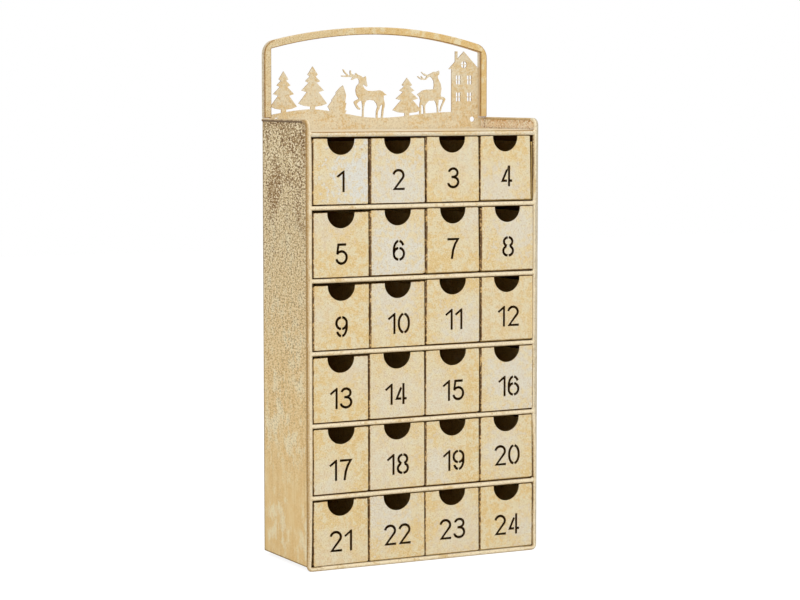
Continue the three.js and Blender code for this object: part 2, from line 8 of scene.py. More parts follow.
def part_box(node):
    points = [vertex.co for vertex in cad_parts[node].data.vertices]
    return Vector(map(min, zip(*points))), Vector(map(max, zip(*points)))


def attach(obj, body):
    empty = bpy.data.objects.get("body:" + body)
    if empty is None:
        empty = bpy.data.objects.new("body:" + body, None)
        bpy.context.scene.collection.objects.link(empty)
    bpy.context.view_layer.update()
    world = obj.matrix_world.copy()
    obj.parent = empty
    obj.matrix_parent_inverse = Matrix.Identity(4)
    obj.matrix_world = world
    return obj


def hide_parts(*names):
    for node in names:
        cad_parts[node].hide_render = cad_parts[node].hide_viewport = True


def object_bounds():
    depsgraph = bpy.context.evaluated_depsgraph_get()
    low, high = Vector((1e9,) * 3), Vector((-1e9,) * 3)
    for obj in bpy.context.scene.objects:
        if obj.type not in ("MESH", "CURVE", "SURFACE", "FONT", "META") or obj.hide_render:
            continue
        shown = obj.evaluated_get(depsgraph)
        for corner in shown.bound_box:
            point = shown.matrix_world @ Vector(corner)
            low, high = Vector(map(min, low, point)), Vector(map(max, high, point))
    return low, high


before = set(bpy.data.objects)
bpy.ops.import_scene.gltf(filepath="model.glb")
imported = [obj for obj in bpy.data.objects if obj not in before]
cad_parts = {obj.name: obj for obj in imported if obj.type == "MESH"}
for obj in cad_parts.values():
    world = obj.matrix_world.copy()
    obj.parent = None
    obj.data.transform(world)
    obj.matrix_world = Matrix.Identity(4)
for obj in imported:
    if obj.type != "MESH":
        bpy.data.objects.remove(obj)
cadLow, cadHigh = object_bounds()
scene = bpy.context.scene
mm = 0.001
near = 0.01 * mm  # two places closer than this count as one
noise.seed_set(24)  # without a seed the noise vectors follow the clock
print("frame loaded:", len(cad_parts), "nodes")


# Small helpers

def linear(hexColour):
    # an sRGB hex colour as the linear values that nodes take
    parts = [int(hexColour[i:i + 2], 16) / 255 for i in (1, 3, 5)]
    return [p / 12.92 if p <= 0.04045 else ((p + 0.055) / 1.055) ** 2.4 for p in parts] + [1]


def addNode(material, kind, inputs=None, out=0, **settings):
    # adds one node with its settings and links, and gives back one of its sockets;
    # an input is another node's socket, a value or a hex colour
    node = material.node_tree.nodes.new("ShaderNode" + kind)
    for name, value in settings.items():
        setattr(node, name, value)
    for socket, value in (inputs or {}).items():
        if isinstance(value, bpy.types.NodeSocket):
            material.node_tree.links.new(value, node.inputs[socket])
        else:
            value = linear(value) if isinstance(value, str) else value
            node.inputs[socket].default_value = value
    return node.outputs[out] if len(node.outputs) else None


def withNodes(owner):
    # a new material or world starts without nodes
    owner.use_nodes = True
    owner.node_tree.nodes.clear()
    return owner


def objectFrom(bm, name):
    mesh = bpy.data.meshes.new(name)
    bm.to_mesh(mesh)
    bm.free()
    made = bpy.data.objects.new(name, mesh)
    scene.collection.objects.link(made)
    return made


def finishPiece(bm, name, body, coatNames, sharp=35, weighted=False):
    # the mesh keeps its place in its vertices, and stands for the node of its name
    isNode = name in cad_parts
    piece = objectFrom(bm, name + "_painted" if isNode else name)
    piece.data.shade_smooth()
    piece.data.set_sharp_from_angle(angle=math.radians(sharp))
    for coat in coatNames:
        piece.data.materials.append(paints[coat])
    if weighted:
        normals = piece.modifiers.new("flat faces", "WEIGHTED_NORMAL")
        normals.keep_sharp = True
        normals.weight = 80
    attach(piece, body)
    if isNode:
        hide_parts(name)
    return piece


def meshOfNode(name):
    # a merged copy of a CAD node with its flat faces whole
    bm = bmesh.new()
    bm.from_mesh(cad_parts[name].data)
    bmesh.ops.remove_doubles(bm, verts=bm.verts, dist=near / 5)
    bmesh.ops.dissolve_limit(bm, angle_limit=math.radians(0.5), verts=bm.verts, edges=bm.edges)
    return bm


def sharpEdges(bm):
    return [e for e in bm.edges if e.is_manifold and e.calc_face_angle() > math.radians(40)]


def soften(bm, geom, width, segments=2, affect="EDGES"):
    done = bmesh.ops.bevel(bm, geom=geom, offset=width, offset_type="OFFSET", segments=segments,
                           profile=0.5, affect=affect, material=-1, clamp_overlap=True)
    return done["faces"]


def cutAcross(bm, place, normal):
    bmesh.ops.bisect_plane(bm, geom=bm.verts[:] + bm.edges[:] + bm.faces[:], dist=near / 10,
                           plane_co=place, plane_no=normal)


def thicken(bm, faces, middleX, thickness):
    # a folded sheet faces away from its middle, and its wall grows inward
    bmesh.ops.recalc_face_normals(bm, faces=faces)
    outer = max(faces, key=lambda f: abs(f.calc_center_median().x - middleX))
    if (outer.calc_center_median().x - middleX) * outer.normal.x < 0:
        bmesh.ops.reverse_faces(bm, faces=faces)
    bmesh.ops.solidify(bm, geom=faces, thickness=thickness)


def ramp(value, start, length):
    # rises from 0 to 1 over a length
    return min(1, max(0, (value - start) / length))


def hump(value, middle, reach):
    return max(0, 1 - ((value - middle) / reach) ** 2)


# Camera, floor and light

view = {
    "place": (-1.0321, -1.99863, 0.43577),
    "turn": 27.3159,
    "tilt": 5.0084,
    "lens": 108.46,
    "sensor": 36,
    "farthest": 50,
}
camera = bpy.data.objects.new("camera", bpy.data.cameras.new("camera"))
camera.location = view["place"]
camera.rotation_euler = (math.radians(90 - view["tilt"]), 0, math.radians(-view["turn"]))
camera.data.lens = view["lens"]
camera.data.sensor_width = view["sensor"]
camera.data.clip_end = view["farthest"]
scene.collection.objects.link(camera)
scene.camera = camera
scene.view_settings.view_transform = "Standard"

studio = {
    "worldLevel": 0.58,
    "floorSize": 8,
    # the floor lights the object as pale paper, and looks white apart from its shadows
    "paper": "#EFEFEF", "paperShadow": "#8C8C8C", "paperGlow": 0.88,
    "lights": {
        # place, size in metres, watts
        "soft front light": ((0.7, -2.7, 1.8), 1.8, 25),
        "top light": ((-0.2, -0.4, 2.6), 1.6, 16),
        "left fill": ((-2.6, -1.0, 1.2), 1.6, 13),
    },
}


def makeStage():
    world = scene.world = withNodes(bpy.data.worlds.new("studio"))
    # the camera and mirror reflections see white, and the light keeps its level
    seen = addNode(world, "LightPath", out="Is Camera Ray")
    for ray in ("Is Glossy Ray", "Is Transmission Ray"):
        seen = addNode(world, "Math", {0: seen, 1: addNode(world, "LightPath", out=ray)},
                       operation="MAXIMUM")
    level = addNode(world, "MapRange", {"Value": seen, "To Min": studio["worldLevel"],
                                        "To Max": 1.0})
    light = addNode(world, "Background", {"Color": "#FFFFFF", "Strength": level})
    addNode(world, "OutputWorld", {"Surface": light})

    paper = withNodes(bpy.data.materials.new("white paper floor"))
    plain = addNode(paper, "BsdfDiffuse", {"Color": studio["paper"]})
    shadowed = addNode(paper, "BsdfDiffuse", {"Color": studio["paperShadow"]})
    glow = addNode(paper, "Emission", {"Color": "#FFFFFF", "Strength": studio["paperGlow"]})
    shown = addNode(paper, "AddShader", {0: shadowed, 1: glow})
    mix = addNode(paper, "MixShader", {0: addNode(paper, "LightPath", out="Is Camera Ray"),
                                       1: plain, 2: shown})
    addNode(paper, "OutputMaterial", {"Surface": mix})
    bm = bmesh.new()
    bmesh.ops.create_grid(bm, x_segments=1, y_segments=1, size=studio["floorSize"] / 2)
    floor = objectFrom(bm, "floor")
    floor.data.materials.append(paper)

    middle = (cadLow + cadHigh) / 2
    for name, (place, size, watts) in studio["lights"].items():
        lamp = bpy.data.lights.new(name, "AREA")
        lamp.size = size
        lamp.energy = watts
        holder = bpy.data.objects.new(name, lamp)
        holder.location = place
        holder.rotation_euler = (middle - Vector(place)).to_track_quat("-Z", "Y").to_euler()
        scene.collection.objects.link(holder)


makeStage()
print("camera, floor and lights made")


# Sizes read from the frame

rimRadius = 2.1 * mm
sheet = 0.6 * mm
sideLow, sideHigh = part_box("right_side_panel")
topLow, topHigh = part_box("top_plate")
archLow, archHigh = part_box("arch_frame")
rimX = sideHigh.x - rimRadius
rimY = sideLow.y + rimRadius
lipTop = sideHigh.z


# the sides' own sizes, where -1 is the left side and 1 the right
side = {
    "lipBend": 5 * mm,
    "cornerBend": 3 * mm,
    "rimReturn": 9 * mm,
    "foot": 3.6 * mm,
    "hem": {-1: 1.6 * mm, 1: 1.2 * mm},
    "rollSides": 20,
    "rollSteps": 60,
    "bendSteps": 8,
    "hemSides": 12,
    "hemSteps": 20,
    "hemStart": 4 * mm,  # the hem widens to the roll over this length
    "sheetSteps": (24, 90),
    "swell": {-1: 1.8 * mm, 1: 1.15 * mm},  # the rolls are wider than they are deep
    "swellLow": 0.35,  # share of it near the foot, from where it grows over this height
    "swellRise": 90 * mm,
    "swellFoot": (1 * mm, 8 * mm),  # start and length of its two ends
    "swellTop": (8 * mm, 12 * mm),
    # beside drawer 4 the right roll bulges inward and is brown there, partly as painted shade of
    # the wide gap beside that drawer
    "bulge": {-1: 0, 1: 0.9 * mm},
    "bulgeAt": 366 * mm,
    "bulgeReach": 38 * mm,
    "bulgeBrown": 1.2,
    # and again beside drawers 20 and 24, brown partly as painted shade of the gap
    "lowBrown": {-1: 0, 1: 0.75},
    "lowBrownAt": 72 * mm,
    "lowBrownReach": 66 * mm,
    # the inner flank's brown is partly painted shade, where the roll faces the gap beside the
    # drawers
    "flankShare": {-1: 1, 1: 0.8},  # how brown the inner flank of a roll is
    "flankTop": (4 * mm, 8 * mm),
    # the rubbed line lies inward of a roll's front, most of all at the right; it is also a painted
    # highlight, with painted shade on the flanks beside it
    "turnShift": {-1: 0.35, 1: 0.75},
    "turnLeast": {-1: -1.2, 1: -0.75},
    "turnFoot": (6 * mm, 25 * mm),
    # painted light and shade on the hem: paler on top where light falls, browner below
    "hemTurn": {-1: (1.0, 0.45), 1: (0.6, 0)},  # at mid height, and how much less on top
    # the sheets have shallow dents, the rolls waver
    "dents": 0.35 * mm,
    "dentSize": 70 * mm,
    "dentEdge": 14 * mm,
    "waver": 0.12 * mm,
    "waverSize": 9 * mm,
}


# Paint: brown primer on sheet steel, gold and cream acrylic dabbed over it and rubbed
# back by hand. It is matt and mottled, with primer at the worn edges.
# Patterns and bump are in mm. A tone with numbers fades in where a value of its paint goes
# from the first to the second, as deep as the third; a pit or a speck starts at the first.

def over(material, colour, value, tone, low, high, depth=1.0, strength=None, fade="SMOOTHSTEP"):
    # lays a tone over a colour where the value goes from low to high
    share = addNode(material, "MapRange", {"Value": value, "From Min": low, "From Max": high,
                                           "To Max": depth}, interpolation_type=fade)
    if strength is not None:
        share = addNode(material, "Math", {0: share, 1: strength}, operation="MULTIPLY",
                        use_clamp=True)
    return addNode(material, "Mix", {"Factor": share, "A": colour, "B": tone}, "Result",
                   data_type="RGBA")


def dabbed(name, look):
    # gold, pale gold and cream, dabbed on with a nearly dry brush
    material = withNodes(bpy.data.materials.new(name))
    place = addNode(material, "TexCoord", out="Object")
    brush = addNode(material, "Mapping", {"Vector": place,
                                          "Scale": look.get("stretch", (1, 1, 1))})
    blotch = addNode(material, "TexNoise", {"Vector": brush, "Scale": 1 / (look["blotch"] * mm),
                                            "Detail": 4, "Roughness": 0.65})
    cloud = addNode(material, "TexNoise", {"Vector": brush, "Scale": 1 / (look["cloud"] * mm),
                                           "Detail": 3, "Roughness": 0.6})
    colour = over(material, look["gold"], blotch, look["paleGold"], 0.38, 0.62, fade="LINEAR")
    both = addNode(material, "Math", {0: blotch, 1: cloud}, operation="ADD")
    colour = over(material, colour, both, look["cream"], look["creamAt"] - 0.1,
                  look["creamAt"] + 0.12)
    return material, place, colour, blotch, cloud


def peppered(material, colour, place, look, strength=None):
    # dark primer and pale paint in fine specks
    place = addNode(material, "Mapping", {"Vector": place,
                                          "Scale": look.get("grainStretch", (1, 1, 1))})
    grain = addNode(material, "TexNoise", {"Vector": place, "Scale": 1 / (look["grain"] * mm),
                                           "Detail": 3, "Roughness": 0.75})
    step = look.get("step", 0.09)
    for (tone, at, depth), width in ((look["pit"], -step), (look["speck"], step)):
        colour = over(material, colour, grain, tone, at, at + width, depth, strength, "LINEAR")
    return colour, grain


def finishPaint(material, colour, grain, look):
    bump = addNode(material, "Bump", {"Height": grain, "Strength": 0.6,
                                      "Distance": look["bump"] * mm})
    shader = addNode(material, "BsdfPrincipled", {"Base Color": colour, "Metallic": 0.1,
                                                  "Roughness": look["roughness"], "Normal": bump,
                                                  "Specular IOR Level": look["shine"]})
    addNode(material, "OutputMaterial", {"Surface": shader})
    return material


frontLook = {
    "blotch": 5, "cloud": 13, "grain": 1.1, "creamAt": 1.0,
    "gold": "#DFC083", "paleGold": "#E3CA91", "cream": "#E3D4AD",
    "pit": ("#BB995E", 0.46, 0.6), "speck": ("#EEE7D2", 0.55, 0.5),
    "chalk": ("#DEDCD2", 4.3, 3.2), "chalkTear": 6.0,
    "edgeGold": ("#CDA35E", 0.7, 0.9, 0.85), "worn": ("#523412", 1.0, 1.04, 0.92),
    "wearSides": 1.3, "wearEnds": 0.9,  # mm from the edge
    "wear": 0.8, "tear": 2,
    # how the wear varies finely, from stretch to stretch and with the height
    "leastWorn": -0.66, "wornVaries": (1.4, 0.8, 0.12),
    "roughness": 0.6, "bump": 0.1, "shine": 0.5,
}


def frontPaint():
    look = frontLook
    material, place, colour, blotch, cloud = dabbed("rubbed acrylic on drawer fronts", look)
    # each front has one chalky patch: its attribute holds the middle, the reach and the strength
    sheetPlace = addNode(material, "UVMap", uv_map="sheet")
    patch = addNode(material, "Attribute", out="Vector", attribute_name="patch")
    strength = addNode(material, "Attribute", out="Alpha", attribute_name="patch")
    away = addNode(material, "VectorMath", {0: sheetPlace, 1: patch}, operation="SUBTRACT")
    flat = addNode(material, "VectorMath", {0: away, 1: (1, 1, 0)}, operation="MULTIPLY")
    distance = addNode(material, "VectorMath", {0: flat}, "Value", operation="LENGTH")
    reach = addNode(material, "SeparateXYZ", {0: patch}, "Z")
    edge = addNode(material, "Math", {0: distance, 1: reach}, operation="DIVIDE")
    torn = addNode(material, "Math", {0: blotch, 1: look["chalkTear"], 2: edge},
                   operation="MULTIPLY_ADD")
    colour = over(material, colour, torn, *look["chalk"], strength=strength)
    colour, grain = peppered(material, colour, place, look)
    # primer shows in a ragged line down the sides of a front
    size = addNode(material, "Attribute", out="Vector", attribute_name="size")
    fine = addNode(material, "TexNoise", {"Vector": place, "Scale": 1 / (look["tear"] * mm),
                                          "Detail": 4, "Roughness": 0.7})
    height = addNode(material, "SeparateXYZ", {0: place}, "Z")
    ragged = look["leastWorn"]
    for value, share in zip((fine, cloud, height), look["wornVaries"]):
        ragged = addNode(material, "Math", {0: value, 1: share, 2: ragged},
                         operation="MULTIPLY_ADD")
    worn = 0.0
    for axis, reach in (("X", look["wearSides"]), ("Y", look["wearEnds"])):
        here = addNode(material, "SeparateXYZ", {0: sheetPlace}, axis)
        whole = addNode(material, "SeparateXYZ", {0: size}, axis)
        rest = addNode(material, "Math", {0: whole, 1: here}, operation="SUBTRACT")
        nearest = addNode(material, "Math", {0: here, 1: rest}, operation="MINIMUM")
        line = addNode(material, "MapRange", {"Value": nearest, "From Min": reach * mm,
                                              "From Max": 0.0, "To Max": look["wear"]})
        line = addNode(material, "Math", {0: line, 1: line}, operation="MULTIPLY")
        worn = addNode(material, "Math", {0: line, 1: worn}, operation="MAXIMUM")
    worn = addNode(material, "Math", {0: worn, 1: ragged}, operation="ADD")
    colour = over(material, colour, worn, *look["edgeGold"])
    colour = over(material, colour, worn, *look["worn"])
    return finishPaint(material, colour, grain, look)


sideLook = {
    "blotch": 8, "cloud": 30, "grain": 1.6, "creamAt": 1.08, "step": 0.05,
    "stretch": (1, 0.8, 0.6), "grainStretch": (1, 0.5, 1),
    "gold": "#E6C383", "paleGold": "#EBCF96", "cream": "#F0E0B6",
    "pit": ("#644008", 0.47, 0.92), "speck": ("#FAEBC8", 0.53, 0.92),
    "streak": ("#D8AE68", 0.48, 0.66, 0.3), "streakWidth": 3.5, "streakStretch": (1, 1, 0.05),
    "ash": ("#D2BE92", 0.2, 0.9, 0.7), "smoothBelow": 50 * mm, "roughAbove": 400 * mm,
    "primer": ("#98702A", 1.3, 1.56, 0.85), "primerVaries": (0.8, 1.4),
    "leastSpecks": -0.17, "specksVary": (0.5, 1.15),  # from patch to patch, and with the height
    # bare primer along the foot and the rear edge
    "line": ("#7A5A28", 2.09 * mm, 1.1 * mm, 0.85), "lineTear": 1.1 * mm,
    "roughness": 0.62, "bump": 0.2, "shine": 0.5,
}


def sidePaint():
    # coarse dabs over primer near the top, nearly plain gold near the foot
    look = sideLook
    material, place, colour, _, cloud = dabbed("dabbed gold acrylic on side sheets", look)
    height = addNode(material, "SeparateXYZ", {0: place}, "Z")
    climb = addNode(material, "MapRange", {"Value": height, "From Min": look["smoothBelow"],
                                           "From Max": look["roughAbove"]})
    # the brush left faint upright streaks
    upright = addNode(material, "Mapping", {"Vector": place, "Scale": look["streakStretch"]})
    streak = addNode(material, "TexNoise", {"Vector": upright, "Detail": 3,
                                            "Scale": 1 / (look["streakWidth"] * mm)})
    colour = over(material, colour, streak, *look["streak"])
    # primer shows more and more towards the top, in large patches
    colour = over(material, colour, climb, *look["ash"])
    bare = 0.0
    for value, share in zip((climb, cloud), look["primerVaries"]):
        bare = addNode(material, "Math", {0: value, 1: share, 2: bare}, operation="MULTIPLY_ADD")
    colour = over(material, colour, bare, *look["primer"])
    strength = look["leastSpecks"]
    for value, share in zip((cloud, climb), look["specksVary"]):
        strength = addNode(material, "Math", {0: value, 1: share, 2: strength},
                           operation="MULTIPLY_ADD")
    colour, grain = peppered(material, colour, place, look, strength)
    # and in a thin line along the foot and the rear edge
    behind = addNode(material, "SeparateXYZ", {0: place}, "Y")
    toRear = addNode(material, "Math", {0: sideHigh.y, 1: behind}, operation="SUBTRACT")
    toFoot = addNode(material, "Math", {0: height, 1: side["foot"]}, operation="SUBTRACT")
    nearest = addNode(material, "Math", {0: toRear, 1: toFoot}, operation="MINIMUM")
    nearest = addNode(material, "Math", {0: grain, 1: look["lineTear"], 2: nearest},
                      operation="MULTIPLY_ADD")
    colour = over(material, colour, nearest, *look["line"])
    return finishPaint(material, colour, grain, look)


rimLook = {
    "blotch": 7, "cloud": 30, "grain": 1.1, "creamAt": 0.82,
    "gold": "#DCC08A", "paleGold": "#E6D2A2", "cream": "#EFDFBC",
    "pit": ("#9C7840", 0.44, 0.6), "speck": ("#F2EAD8", 0.56, 0.5),
    "ragged": 0.8,
    # the flank, outer and inner tones are partly painted shade on the sides and underside of a roll
    "flank": "#CFB180", "flankAt": (-0.12, -0.42, 0.9),
    "greyFlank": ("#C2B69C", 115 * mm, 116 * mm),  # the right roll is greyer outside
    "outer": ("#A27E44", -0.78, -0.94, 0.9),
    "inner": ("#C6AA7A", 0.32, 0.6, 0.92), "innerPit": ("#54340F", 0.3, 0.5, 0.8),
    "roughness": 0.5, "bump": 0.08, "shine": 0.25,
}


def rimPaint():
    # hands rub the proud side of a rolled edge pale; its flanks stay gold and brown. The pale front
    # of a roll is also a painted highlight, and its flanks and underside are partly painted shade,
    # set by how far each point is turned
    look = rimLook
    material, place, colour, blotch, _ = dabbed("rubbed acrylic on rolled edges", look)
    # painted highlight where a roll faces forward, painted shade in gold and brown where it turns
    # away
    turn = addNode(material, "Attribute", out="Fac", attribute_name="turn")
    ragged = addNode(material, "Math", {0: blotch, 1: look["ragged"], 2: -look["ragged"] / 2},
                     operation="MULTIPLY_ADD")
    ragged = addNode(material, "Math", {0: ragged, 1: turn}, operation="ADD")
    along = addNode(material, "SeparateXYZ", {0: place}, "X")
    flank = over(material, look["flank"], along, *look["greyFlank"], fade="LINEAR")
    colour = over(material, colour, ragged, flank, *look["flankAt"])
    colour = over(material, colour, turn, *look["outer"])
    colour = over(material, colour, ragged, *look["inner"])
    colour, grain = peppered(material, colour, place, look)
    inside = addNode(material, "Math", {0: ragged, 1: grain}, operation="SUBTRACT")
    colour = over(material, colour, inside, *look["innerPit"])
    return finishPaint(material, colour, grain, look)


lipLook = {
    "blotch": 4, "cloud": 22, "grain": 1.9, "creamAt": 1.0, "step": 0.05,
    "gold": "#D8A45A", "paleGold": "#E2BC7C", "cream": "#F4E8CC",
    "low": ("#FBE6C2", lipTop + 8 * mm, lipTop + 1 * mm, 0.8), "lowTear": 20 * mm,
    "pit": ("#A87238", 0.46, 0.75), "speck": ("#FFF8EC", 0.53, 0.9),
    "roughness": 0.58, "bump": 0.12, "shine": 0.5,
}


def lipPaint():
    # the inner faces of the sides: orange gold with cream rubbed into it
    look = lipLook
    material, place, colour, blotch, _ = dabbed("orange gold and cream on inner faces", look)
    height = addNode(material, "SeparateXYZ", {0: place}, "Z")
    height = addNode(material, "Math", {0: blotch, 1: look["lowTear"], 2: height},
                     operation="MULTIPLY_ADD")
    # cream towards the foot of the lip, partly painted light that lifts the shade in its corner
    # with the top plate
    colour = over(material, colour, height, *look["low"])
    colour, grain = peppered(material, colour, place, look)
    return finishPaint(material, colour, grain, look)


archLook = {
    "blotch": 6, "cloud": 24, "grain": 1.0, "creamAt": 1.08,
    "gold": "#DCB874", "paleGold": "#E2C68C", "cream": "#E8D8AE",
    "pit": ("#8E6A36", 0.45, 0.6), "speck": ("#E8DCC0", 0.56, 0.55),
    "flank": ("#CC9850", 0.8, 0.2, 0.7),
    # the left half is paler and rougher
    "beige": ("#D8C49A", 50 * mm, -100 * mm, 0.65),
    "smoothFrom": 60 * mm, "roughTo": -118 * mm, "roughest": (0.7, 2.0),
    # the inner flank of the right leg is painted paler as painted light, since it stands in shade
    "paleFlank": "#D8CBAE", "innerFlank": ("#F4E8CC", 0, 10 * mm), "flankAt": (0.3, 0.8, 0.85),
    # darker brown on the flanks just behind the front corner
    "worn": ("#A27632", 4.5 * mm, 3 * mm, 0.8), "darkTear": 2 * mm,  # behind the front corner
    "roughness": 0.52, "bump": 0.12, "shine": 0.5,
}


def archPaint():
    # gold wax over primer on the square bar: the sides stay darker than the front
    look = archLook
    material, place, colour, blotch, _ = dabbed("gold wax on the arch bar", look)
    normal = addNode(material, "TexCoord", out="Normal")
    facing, outer = (addNode(material, "VectorMath", {0: normal, 1: way}, "Value",
                             operation="DOT_PRODUCT") for way in ((0, -1, 0), (-1, 0, 0)))
    colour = over(material, colour, facing, *look["flank"])
    along = addNode(material, "SeparateXYZ", {0: place}, "X")
    colour = over(material, colour, along, *look["beige"])
    # painted light: the flanks of the right half are paler where they stand in shade
    flank = over(material, look["paleFlank"], along, *look["innerFlank"], fade="LINEAR")
    behind = addNode(material, "SeparateXYZ", {0: place}, "Y")
    behind = addNode(material, "Math", {0: behind, 1: archLow.y}, operation="SUBTRACT")
    behind = addNode(material, "Math", {0: blotch, 1: look["darkTear"], 2: behind},
                     operation="MULTIPLY_ADD")
    flank = over(material, flank, behind, *look["worn"])
    colour = over(material, colour, outer, flank, *look["flankAt"])
    least, most = look["roughest"]
    rough = addNode(material, "MapRange", {"Value": along, "From Min": look["smoothFrom"],
                                           "From Max": look["roughTo"],
                                           "To Min": least, "To Max": most})
    colour, grain = peppered(material, colour, place, look, rough)
    return finishPaint(material, colour, grain, look)


# Coats that differ in their look alone
coats = {
    # even pale gold, softer and finer than on the sides
    "plate": {
        "name": "rubbed acrylic on plates",
        "blotch": 3, "cloud": 26, "grain": 1.2, "creamAt": 0.96,
        "gold": "#DCC08C", "paleGold": "#E0CA9E", "cream": "#E3D5B6",
        "pit": ("#A28252", 0.46, 0.42), "speck": ("#F0E8D4", 0.54, 0.45),
        "roughness": 0.58, "bump": 0.1, "shine": 0.5,
    },
    # duller gold that lets the brown through
    "tray": {
        "name": "thin gold over brown primer on trays",
        "blotch": 6, "cloud": 30, "grain": 1.3, "creamAt": 1.2,
        "gold": "#CBA960", "paleGold": "#D3B472", "cream": "#DCC48C",
        "pit": ("#7A5A28", 0.46, 0.7), "speck": ("#C9AE78", 0.6, 0.5),
        "roughness": 0.66, "bump": 0.1, "shine": 0.5,
    },
    # mid brown lines on corners and cut walls, and the painted shadow of the top plate's groove
    "primer": {
        "name": "bare brown primer on edges and painted groove shadow",
        "blotch": 4, "cloud": 20, "grain": 1.0, "creamAt": 1.15,
        "gold": "#9A6E2E", "paleGold": "#AA7E3E", "cream": "#C2A05E",
        "pit": ("#4A3012", 0.47, 0.8), "speck": ("#CDB07A", 0.58, 0.6),
        "roughness": 0.7, "bump": 0.08, "shine": 0.2,
    },
    # painted shade: dark and dull where no light reaches, as dark primer inside the casing
    "inside": {
        "name": "dark primer and painted shade inside the casing",
        "blotch": 6, "cloud": 30, "grain": 1.2, "creamAt": 1.3,
        "gold": "#6E4820", "paleGold": "#7A5228", "cream": "#8A6236",
        "pit": ("#2E1C0A", 0.43, 0.6), "speck": ("#8E6C40", 0.62, 0.4),
        "roughness": 0.85, "bump": 0.08, "shine": 0.1,
    },
    # the numbers' walls, burnt brown by the laser and darkened further as painted shade inside the
    # cuts
    "cut": {
        "name": "burnt laser cut edge with painted shade",
        "blotch": 3, "cloud": 10, "grain": 0.8, "creamAt": 1.4,
        "gold": "#5A340C", "paleGold": "#683F12", "cream": "#7A4E1C",
        "pit": ("#2A1604", 0.42, 0.6), "speck": ("#5A3C18", 0.66, 0.3),
        "roughness": 0.9, "bump": 0.05, "shine": 0.05,
    },
}


def plainCoat(look):
    material, place, colour, _, _ = dabbed(look["name"], look)
    colour, grain = peppered(material, colour, place, look)
    return finishPaint(material, colour, grain, look)


paints = {"front": frontPaint(), "side": sidePaint(), "rim": rimPaint(), "lip": lipPaint(),
          "arch": archPaint()}
for key, look in coats.items():
    paints[key] = plainCoat(look)
print("paints mixed:", len(paints))


# Sides: a sheet with a rolled rim round its front edge

def edgesOf(geom):
    return [g for g in geom if isinstance(g, bmesh.types.BMEdge)]


def vertsOf(geom):
    return [g for g in geom if isinstance(g, bmesh.types.BMVert)]


def pushEdges(bm, edges, move, cuts=1):
    # extrudes a row of edges along a straight line, in equal steps
    for _ in range(cuts):
        grown = bmesh.ops.extrude_edge_only(bm, edges=edges)["geom"]
        bmesh.ops.translate(bm, verts=vertsOf(grown), vec=Vector(move) / cuts)
        edges = [e for e in edgesOf(grown) if len(e.link_faces) == 1]
    return edges


def turnEdges(bm, edges, centre, axis, angle, steps):
    # bends a row of edges round an axis
    done = bmesh.ops.spin(bm, geom=edges, cent=centre, axis=axis, dvec=(0, 0, 0),
                          angle=math.radians(angle), steps=steps, use_merge=False)
    return edgesOf(done["geom_last"])


def startRoll(bm, sides, radius, axis, place):
    # the round end of a roll, and its edges to extrude
    verts = bmesh.ops.create_circle(bm, segments=sides, radius=radius, cap_ends=True)["verts"]
    turned = Matrix.Rotation(math.pi / 2, 3, axis)
    bmesh.ops.rotate(bm, verts=verts, cent=(0, 0, 0), matrix=turned)
    bmesh.ops.translate(bm, verts=verts, vec=place)
    return list({e for v in verts for e in v.link_edges if all(o in verts for o in e.verts)})


def sideRim(bm, hand):
    # a roll that starts on top of the lip, turns down the front and ends under the corner
    x, inward = hand * rimX, -hand
    radius, hem = rimRadius, side["hem"][hand]
    before = set(bm.faces)
    top = lipTop - radius
    rear = rimY + side["lipBend"]
    place = (x, rear + side["hemStart"], lipTop - hem)
    edges = startRoll(bm, side["rollSides"], hem, "X", place)
    edges = pushEdges(bm, edges, (0, -side["hemStart"], hem - radius))
    ring = list({v for e in edges for v in e.verts})
    bmesh.ops.scale(bm, verts=ring, vec=(radius / hem, 1, radius / hem),
                    space=Matrix.Translation((-x, -rear, -top)))
    edges = turnEdges(bm, edges, (x, rear, top - side["lipBend"]), (1, 0, 0), 90, side["bendSteps"])
    bend = radius + side["cornerBend"]
    edges = pushEdges(bm, edges, (0, 0, bend - (top - side["lipBend"])), cuts=side["rollSteps"])
    centre = Vector((x + inward * side["cornerBend"], rimY, bend))
    edges = turnEdges(bm, edges, centre, (0, inward, 0), -90, side["bendSteps"])
    edges = pushEdges(bm, edges, (inward * side["rimReturn"], 0, 0), cuts=3)
    bmesh.ops.contextual_create(bm, geom=edges)
    faces = set(bm.faces) - before
    # how far each point is turned to the drawers, which sets the roll's painted highlight and
    # painted shade; the roll swells that way between its bends
    turn = bm.verts.layers.float["turn"]
    for v in {v for f in faces for v in f.verts}:
        if v.co.z > bend:
            facing = (v.co.x - x) * inward / radius
        elif (v.co.x - centre.x) * inward < 0:
            off = Vector((v.co.x - centre.x, v.co.z - centre.z))
            facing = (side["cornerBend"] - off.length) / radius
        else:
            facing = (v.co.z - radius) / radius
        height, below = v.co.z, lipTop - v.co.z
        rise = side["swellLow"] + (1 - side["swellLow"]) * (height - bend) / side["swellRise"]
        level = min(rise, ramp(height - bend, *side["swellFoot"]), ramp(below, *side["swellTop"]))
        bulge = hump(height, side["bulgeAt"], side["bulgeReach"])
        low = side["lowBrown"][hand] * hump(height, side["lowBrownAt"], side["lowBrownReach"])
        wider = side["swell"][hand] * level + side["bulge"][hand] * bulge
        v.co.x += inward * wider * max(0, facing)
        shift = side["turnShift"][hand] * ramp(height, *side["turnFoot"]) * (1 - low)
        v[turn] = max(side["turnLeast"][hand], facing - shift)
        if v[turn] > 0:
            v[turn] *= side["flankShare"][hand] * ramp(below, *side["flankTop"])
        # brown beside drawers 4, 20 and 24, partly painted shade of the gaps there
        if side["bulge"][hand]:
            v[turn] += (side["bulgeBrown"] * bulge + low) * max(0, facing)
        v.co += side["waver"] * noise.noise_vector(v.co / side["waverSize"])
    return faces


